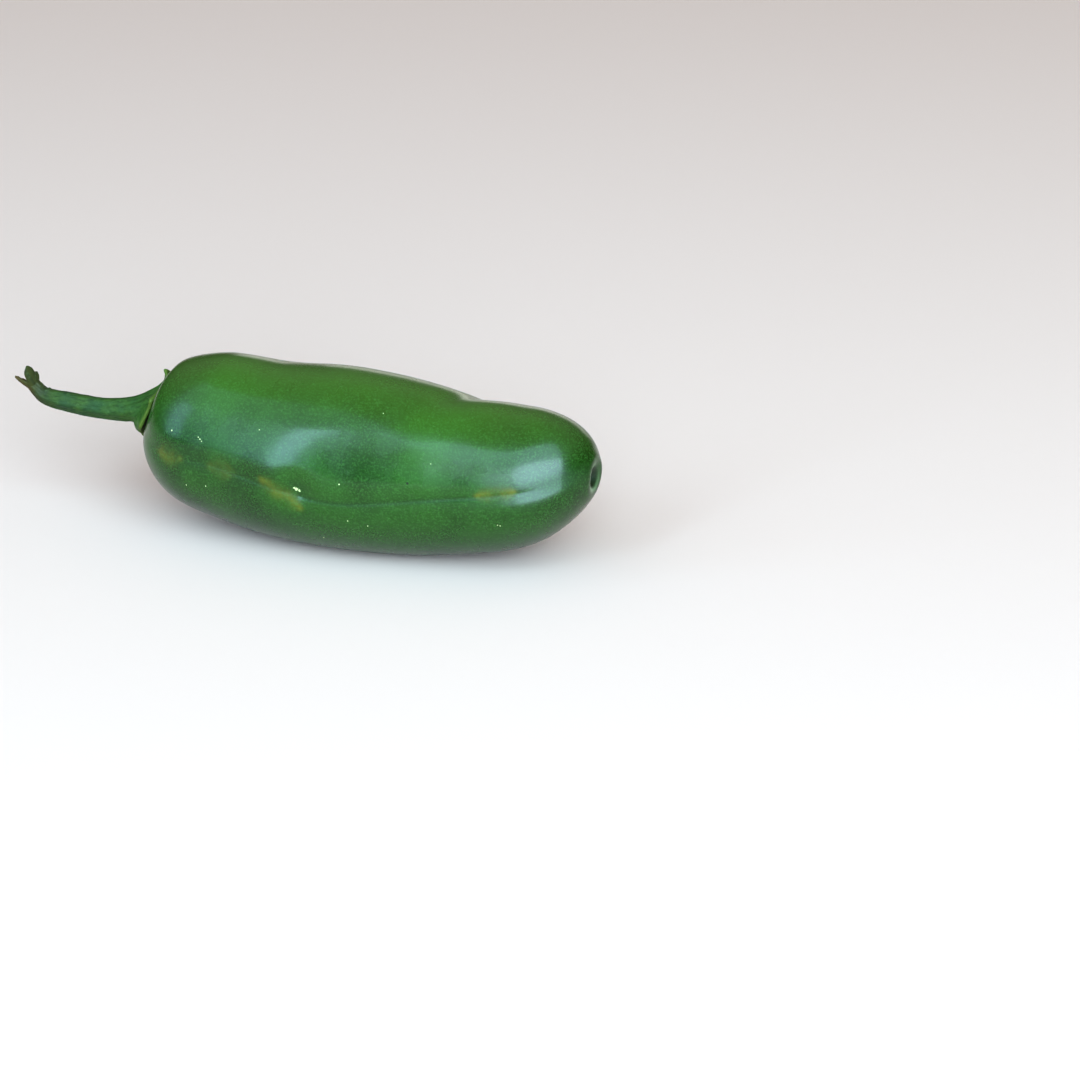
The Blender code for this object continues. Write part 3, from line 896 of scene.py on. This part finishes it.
def mark_pod(mesh, s, v):
    """Gives the pod's mesh the numbers that its material reads."""
    # Painted shade along the crease, in the dimple and at the tip.
    give_numbers(mesh, "crease_shade", shaded(s, v))
    # A painted reflection of a warm horizon, in ochre streaks.
    streaks = [near_streak(s, v, one) for one in OCHRE_REFLECTION_STREAKS]
    give_numbers(mesh, "ochre_reflection", np.max(streaks, axis=0))
    # Painted light on the top.
    give_numbers(mesh, "lit_top", near_turn(v, LIT_TOP_TURN, LIT_TOP_SPREAD))
    # Painted shade below and towards the tip.
    tip = np.clip((s / POD_LENGTH - TIP_SHADE_FROM) / (1 - TIP_SHADE_FROM), 0, 1)
    below = near_turn(v, BELLY_SHADE_TURN, BELLY_SHADE_SPREAD)
    give_numbers(mesh, "belly_and_tip_shade", np.maximum(below, TIP_SHADE * tip**TIP_SHADE_POWER))
    away = from_pit(pod_radius(s, v), v)
    at_tip = s > POD_LENGTH / 2
    # The pit's inside: partly its dried scar, partly painted shade in the hollow.
    give_numbers(mesh, "pit", at_tip * bell(away / PIT_RADIUS))
    # A painted highlight on the lip round the pit.
    lip_highlight = bell((away - LIP_HIGHLIGHT_RADIUS) / LIP_HIGHLIGHT_WIDTH)
    give_numbers(mesh, "lip_highlight", at_tip * lip_highlight * near_turn(v, LIP_HIGHLIGHT_TURN, LIP_HIGHLIGHT_SPREAD))


def make_pod():
    s, v = np.broadcast_arrays(pod_places(POD_RINGS)[1:-1, None], pod_turns()[None, :])
    points = pod_points(s, v).reshape(-1, 3)
    outward = through_skin(points, POD_SIDES)
    across = turned(v, crease_turn(s)) * pod_radius(s, v)
    groove = FINE_CREASE_DEPTH * fine_crease(s) * bell(across / FINE_CREASE_HALF)
    points = uneven(points, outward, SKIN_WAVES) - groove.reshape(-1, 1) * outward
    points[:, 2] = np.maximum(points[:, 2], 0)
    crown, tip = pod_points(0.0, 0.0), pod_points(POD_LENGTH, 0.0)
    mesh = closed_tube("pod_skin", points, POD_SIDES, crown, tip)
    mark_pod(mesh, s, v)
    return mesh


def along_rings(*parts):
    """A number for each of the stem's points, from what its six parts have along their rings."""
    every = [np.broadcast_to(part, rings) for part, rings in zip(parts, STEM_RINGS)]
    return np.repeat(np.concatenate(every), CALYX_SIDES)


def mark_stem(mesh, places, turns):
    """Gives the stem's mesh the numbers that its material reads."""
    under = np.linspace(0, 1, UNDER_RINGS) ** EDGE_UNDER_POWER
    upper = np.linspace(1, 0, UPPER_RINGS) ** EDGE_UPPER_POWER
    give_numbers(mesh, "edge", along_rings(under, 1, upper, 0, 0, 0))
    # Painted shade under the calyx.
    give_numbers(mesh, "under", along_rings(1, np.linspace(1, 0, EDGE_RINGS), 0, 0, 0, 0))
    flare = np.linspace(1, BASE_AT_STALK, FLARE_RINGS)
    stalk = np.linspace(BASE_AT_STALK, 0, STALK_RINGS)
    give_numbers(mesh, "base", along_rings(1, 1, 1, flare, stalk, 0))
    end = np.clip((places / stalk_length() - STALK_END_FROM) / (1 - STALK_END_FROM), 0, 1)
    give_numbers(mesh, "tip", along_rings(0, 0, 0, 0, end, 1))
    give_numbers(mesh, "torn", along_rings(0, 0, 0, 0, 0, np.linspace(0, 1, TORN_RINGS)))
    brown = along_rings(0, 0, 0, 0, end**BROWN_POWER, 1)
    give_numbers(mesh, "brown", brown * near_turn(turns, BROWN_TURN, BROWN_SPREAD))


def make_stem():
    v = calyx_turns()
    under, edge, upper = calyx_rings(v)
    flare = flare_rings(upper[-1], upper[-2], v)
    places = np.linspace(STALK_START, stalk_length(), STALK_RINGS)
    stalk = [stalk_ring(place, v) for place in places]
    torn, cup = torn_rings(v)
    rings = under + edge + upper + flare + stalk + torn
    points = np.concatenate(rings)
    turns = np.tile(v, len(rings))
    steps = [np.linalg.norm(b - a, axis=-1).mean() for a, b in zip(rings, rings[1:])]
    reached = np.repeat(np.cumsum([0.0] + steps), CALYX_SIDES)
    fibre = np.stack([np.cos(turns), np.sin(turns), reached / FIBRE_UNIT], -1)
    inward = through_skin(points, CALYX_SIDES)
    grooves = np.array([noise.noise(Vector(way) * FIBRE_FINENESS) for way in fibre])
    grooves = FIBRE_HEIGHT * along_rings(*FIBRES_SHOW) * grooves
    points = points + grooves[:, None] * inward
    waves = uneven(points, inward, STALK_WAVES) - points
    points = points + along_rings(*WAVES_SHOW)[:, None] * waves
    base = pod_points(0.0, 0.0) - CALYX_GAP * pod_axis(np.array(0.0))[1]
    mesh = closed_tube("stem_skin", points, CALYX_SIDES, base, cup)
    mark_stem(mesh, places, turns)
    give_ways(mesh, "fibre", fibre)
    return mesh


def place_like(meshes, box):
    """Moves the meshes sideways together, so that the first is centred where box is."""
    low, high = (np.array(corner) for corner in box)
    points = np.array([vertex.co for vertex in meshes[0].vertices])
    shift = (low + high) / 2 - (points.min(axis=0) + points.max(axis=0)) / 2
    shift[2] = 0.0
    for mesh in meshes:
        mesh.transform(Matrix.Translation(shift))
    return shift


def seen(colour):
    """A colour's amounts of light, from its values up to 255, by the sRGB standard's rule."""
    amounts = []
    for value in colour:
        part = value / 255
        amounts.append(part / 12.92 if part <= 0.04045 else ((part + 0.055) / 1.055) ** 2.4)
    return (*amounts, 1.0)


class Painter:
    """Makes a material's nodes. An input is a fixed value or another node's output."""

    def __init__(self, name):
        self.material = bpy.data.materials.new(name)
        self.material.use_nodes = True
        self.tree = self.material.node_tree
        self.shader = self.tree.nodes["Principled BSDF"]

    def fix(self, values):
        """Sets the shader's inputs that are the same all over."""
        for name, value in values.items():
            self.shader.inputs[name].default_value = value

    def feed(self, socket, value):
        if isinstance(value, bpy.types.NodeSocket):
            self.tree.links.new(value, socket)
        else:
            socket.default_value = value

    def node(self, kind, inputs, **settings):
        made = self.tree.nodes.new(kind)
        for name, value in settings.items():
            setattr(made, name, value)
        for name, value in inputs.items():
            self.feed(made.inputs[name], value)
        return made

    def place(self):
        return self.node("ShaderNodeTexCoord", {}).outputs["Object"]

    def number(self, name):
        return self.node("ShaderNodeAttribute", {}, attribute_name=name).outputs["Fac"]

    def way(self, name):
        return self.node("ShaderNodeAttribute", {}, attribute_name=name).outputs["Vector"]

    def clouds(self, vector, size, detail=2.0, rough=0.5):
        """A random pattern of blots of this size."""
        inputs = {"Vector": vector, "Scale": 1 / size, "Detail": detail, "Roughness": rough}
        return self.node("ShaderNodeTexNoise", inputs).outputs["Fac"]

    def between(self, value, low, high, first=0.0, last=1.0):
        """first where value is at low, last where it is at high, and a smooth step between."""
        inputs = {"Value": value, "From Min": low, "From Max": high,
                  "To Min": first, "To Max": last}
        made = self.node("ShaderNodeMapRange", inputs, interpolation_type="SMOOTHSTEP")
        return made.outputs["Result"]

    def blots(self, vector, pattern):
        """One of the patterns of blots."""
        size, detail, *step = pattern
        return self.between(self.clouds(vector, size, detail), *step)

    def dots(self, vector, pattern):
        """One of the patterns of dots."""
        apart, low, high, strength = pattern
        inputs = {"Vector": vector, "Scale": 1 / apart}
        distance = self.node("ShaderNodeTexVoronoi", inputs).outputs["Distance"]
        return self.between(distance, low, high, strength, 0.0)

    def sum(self, first, second, operation="ADD"):
        made = self.node("ShaderNodeMath", {0: first, 1: second}, operation=operation)
        return made.outputs[0]

    def product(self, first, second):
        return self.sum(first, second, "MULTIPLY")

    def mix(self, share, first, second):
        made = self.node("ShaderNodeMix", {0: share, 6: first, 7: second}, data_type="RGBA")
        return made.outputs[2]

    def tint(self, share, below, colour):
        """A colour, as it is seen, over what is below it."""
        return self.mix(share, below, seen(colour))

    def away_from(self, vector, point):
        made = self.node("ShaderNodeVectorMath", {0: vector, 1: point}, operation="DISTANCE")
        return made.outputs["Value"]

    def bump(self, height, distance, strength):
        inputs = {"Height": height, "Distance": distance, "Strength": strength}
        return self.node("ShaderNodeBump", inputs).outputs["Normal"]


def near_spots(paint, place, spots, shift):
    """1 on the nearest of the spots and 0 away from it."""
    nearest = None
    for s, turn, radius in spots:
        point = pod_points(s * MM, math.radians(turn)) + shift
        share = paint.sum(paint.away_from(place, point), radius * MM, "DIVIDE")
        nearest = share if nearest is None else paint.sum(nearest, share, "MINIMUM")
    ragged = paint.sum(nearest, paint.blots(place, SPECK_RAG))
    return paint.between(ragged, *SPECK_EDGE, 1.0, 0.0)


def pod_material(shift):
    """Waxy skin: greens that drift, a fine pale grain, scars, and painted light: shade along the
    groove, below and at the tip, a lit olive top, a warm reflection in ochre streaks and a
    highlight on the pit's lip.
    """
    paint = Painter("pod_skin")
    place = paint.place()
    crease_shade, ochre_reflection, pit = (paint.number(name) for name in ("crease_shade", "ochre_reflection", "pit"))
    colour = paint.mix(paint.blots(place, SKIN_DRIFT), seen(SKIN_DEEP), seen(SKIN_MID))
    # Painted light: the top is olive where light falls on it.
    colour = paint.tint(paint.product(paint.number("lit_top"), LIT_TOP_SHARE), colour, SKIN_LIT_TOP)
    # Painted shade: darker below and at the tip.
    colour = paint.tint(paint.product(paint.number("belly_and_tip_shade"), BELLY_SHADE_SHARE), colour, SKIN_BELLY_SHADE)
    # Painted shade along the crease, in the dimple and at the tip.
    colour = paint.tint(paint.product(crease_shade, CREASE_SHADE_SHARE), colour, SKIN_CREASE_SHADE)
    # Painted reflection of a warm horizon, in broken ochre streaks.
    colour = paint.tint(paint.product(ochre_reflection, paint.blots(place, SKIN_BROKEN)), colour, SKIN_OCHRE_REFLECTION)
    colour = paint.tint(paint.blots(place, SKIN_GRAINS), colour, SKIN_GRAIN)
    colour = paint.tint(paint.dots(place, SKIN_PORES), colour, SKIN_GRAIN)
    colour = paint.tint(paint.dots(place, SKIN_FLECKS), colour, SKIN_CREAM)
    scars = near_spots(paint, place, SPECKS, shift)
    colour = paint.tint(scars, colour, SKIN_CREAM)
    colour = paint.tint(near_spots(paint, place, [DARK_SPECK], shift), colour, SKIN_DARK_AND_PIT_SHADE)
    # Painted highlight on the pit's lip.
    colour = paint.tint(paint.product(paint.number("lip_highlight"), LIP_HIGHLIGHT_SHARE), colour, PIT_LIP_HIGHLIGHT)
    # The pit's inside darkened: partly its dried scar, partly painted shade in the hollow.
    colour = paint.tint(paint.between(pit, *PIT_SHADE_STEP), colour, SKIN_DARK_AND_PIT_SHADE)
    paint.feed(paint.shader.inputs["Base Color"], colour)
    rough = paint.blots(place, SKIN_ROUGH)
    rough = paint.sum(rough, paint.product(paint.sum(scars, crease_shade), SCAR_ROUGHER))
    rough = paint.sum(rough, paint.product(pit, PIT_ROUGHER))
    paint.feed(paint.shader.inputs["Roughness"], rough)
    paint.fix(SKIN_GLOSS)
    fine = paint.clouds(place, SKIN_BUMP_SIZE, SKIN_BUMP_DETAIL)
    fine = paint.sum(fine, paint.product(scars, SCAR_BUMP))
    bump = paint.bump(fine, SKIN_BUMP_HEIGHT, SKIN_BUMP_STRENGTH)
    paint.feed(paint.shader.inputs["Normal"], bump)
    return paint.material


def stem_material():
    """Fibrous green skin, paler on the calyx's edge, with painted shade under it, and dark and
    brown at the torn end.
    """
    paint = Painter("stem_skin")
    place = paint.place()
    streaks = paint.clouds(paint.way("fibre"), FIBRE_SIZE, FIBRE_DETAIL, FIBRE_BREAKS)
    colour = paint.mix(paint.blots(place, STALK_MOTTLE), seen(STALK_GREEN), seen(STALK_BLUE))
    colour = paint.tint(paint.number("base"), colour, STALK_BASE)
    colour = paint.tint(paint.product(paint.number("tip"), END_SHARE), colour, STALK_END)
    colour = paint.tint(paint.between(streaks, *FIBRE_DARK), colour, STALK_DARK)
    light = paint.blots(place, STALK_BLOTS)
    colour = paint.tint(light, colour, STALK_PITH)
    colour = paint.tint(paint.product(paint.number("brown"), BROWN_SHARE), colour, STALK_BROWN)
    # Painted shade under the calyx.
    colour = paint.tint(paint.number("under"), colour, CALYX_UNDER_SHADE)
    colour = paint.tint(paint.product(paint.number("edge"), EDGE_SHARE), colour, CALYX_PALE)
    pith = paint.between(paint.number("torn"), *PITH_STEP)
    colour = paint.tint(paint.product(pith, light), colour, STALK_PITH)
    paint.feed(paint.shader.inputs["Base Color"], colour)
    paint.fix(STALK_GLOSS)
    paint.feed(paint.shader.inputs["Roughness"], paint.between(streaks, *FIBRE_ROUGH))
    fine = paint.sum(streaks, paint.clouds(place, STALK_BUMP_SIZE, STALK_BUMP_DETAIL))
    bump = paint.bump(fine, STALK_BUMP_HEIGHT, STALK_BUMP_STRENGTH)
    paint.feed(paint.shader.inputs["Normal"], bump)
    return paint.material


def add_piece(mesh, material, node):
    """Shows the mesh in place of a CAD node."""
    mesh.materials.append(material)
    piece = bpy.data.objects.new(mesh.name, mesh)
    bpy.context.scene.collection.objects.link(piece)
    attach(piece, "root")
    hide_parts(node)


def way_to(turn, height):
    """The way to a place at a turn to the right of the near side and a height, in radians."""
    flat = math.cos(height)
    return Vector((math.sin(turn) * flat, -math.cos(turn) * flat, math.sin(height)))


def make_camera():
    back = way_to(CAMERA_TURN, CAMERA_HEIGHT)
    right = Vector((math.cos(CAMERA_TURN), math.sin(CAMERA_TURN), 0.0))
    up = back.cross(right)
    middle = Vector(SEEN_MIDDLE)
    eye = middle + CAMERA_DISTANCE * back
    over = (IMAGE_PX / 2 - SEEN_MIDDLE_PX[0]) / PX_PER_METRE
    under = (IMAGE_PX / 2 - SEEN_MIDDLE_PX[1]) / PX_PER_METRE
    aim = middle + over * right - under * up
    data = bpy.data.cameras.new("camera")
    data.sensor_width = SENSOR
    data.lens = SENSOR * PX_PER_METRE * CAMERA_DISTANCE / IMAGE_PX
    data.clip_start, data.clip_end = CAMERA_CLIP
    camera = bpy.data.objects.new("camera", data)
    camera.location = eye
    camera.rotation_euler = (aim - eye).to_track_quat("-Z", "Y").to_euler()
    bpy.context.scene.collection.objects.link(camera)
    bpy.context.scene.camera = camera


def make_floor():
    mesh = bpy.data.meshes.new("floor")
    half = FLOOR_HALF
    square = [(-half, -half, 0), (half, -half, 0), (half, half, 0), (-half, half, 0)]
    mesh.from_pydata(square, [], [(0, 1, 2, 3)])
    paint = Painter("floor")
    paint.fix({"Base Color": seen(FLOOR_COLOUR), **FLOOR_GLOSS})
    mesh.materials.append(paint.material)
    floor = bpy.data.objects.new("floor", mesh)
    floor.location.z = -FLOOR_GAP
    bpy.context.scene.collection.objects.link(floor)


def make_light():
    """Soft boxes where the photograph's windows mirror in the skin, under a dim sky."""
    for name, turn, height, wide, high, distance, watts, colour in LIGHT_BOXES:
        data = bpy.data.lights.new(name, "AREA")
        data.shape = "RECTANGLE"
        data.size = wide
        data.size_y = high
        data.energy = watts
        data.color = colour
        box = bpy.data.objects.new(name, data)
        way = way_to(math.radians(turn), math.radians(height))
        box.location = distance * way
        box.rotation_euler = way.to_track_quat("Z", "Y").to_euler()
        bpy.context.scene.collection.objects.link(box)
    world = bpy.data.worlds.new("sky")
    world.use_nodes = True
    tree = world.node_tree
    place = tree.nodes.new("ShaderNodeTexCoord")
    split = tree.nodes.new("ShaderNodeSeparateXYZ")
    ramp = tree.nodes.new("ShaderNodeValToRGB")
    stops = ((SKY_LOW_AT, SKY_LOW), (SKY_TOP_AT, SKY_TOP))
    for stop, (position, colour) in zip(ramp.color_ramp.elements, stops):
        stop.position = position
        stop.color = (*colour, 1.0)
    tree.links.new(place.outputs["Generated"], split.inputs[0])
    tree.links.new(split.outputs["Z"], ramp.inputs[0])
    tree.links.new(ramp.outputs[0], tree.nodes["Background"].inputs["Color"])
    bpy.context.scene.world = world
    bpy.context.scene.view_settings.view_transform = "Standard"
    bpy.context.scene.view_settings.exposure = EXPOSURE
    bpy.context.scene.view_settings.gamma = GAMMA


def main():
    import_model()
    pod, stem = make_pod(), make_stem()
    shift = place_like([pod, stem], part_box("pod"))
    add_piece(pod, pod_material(shift), "pod")
    add_piece(stem, stem_material(), "stem_with_calyx")
    make_camera()
    make_floor()
    make_light()


main()
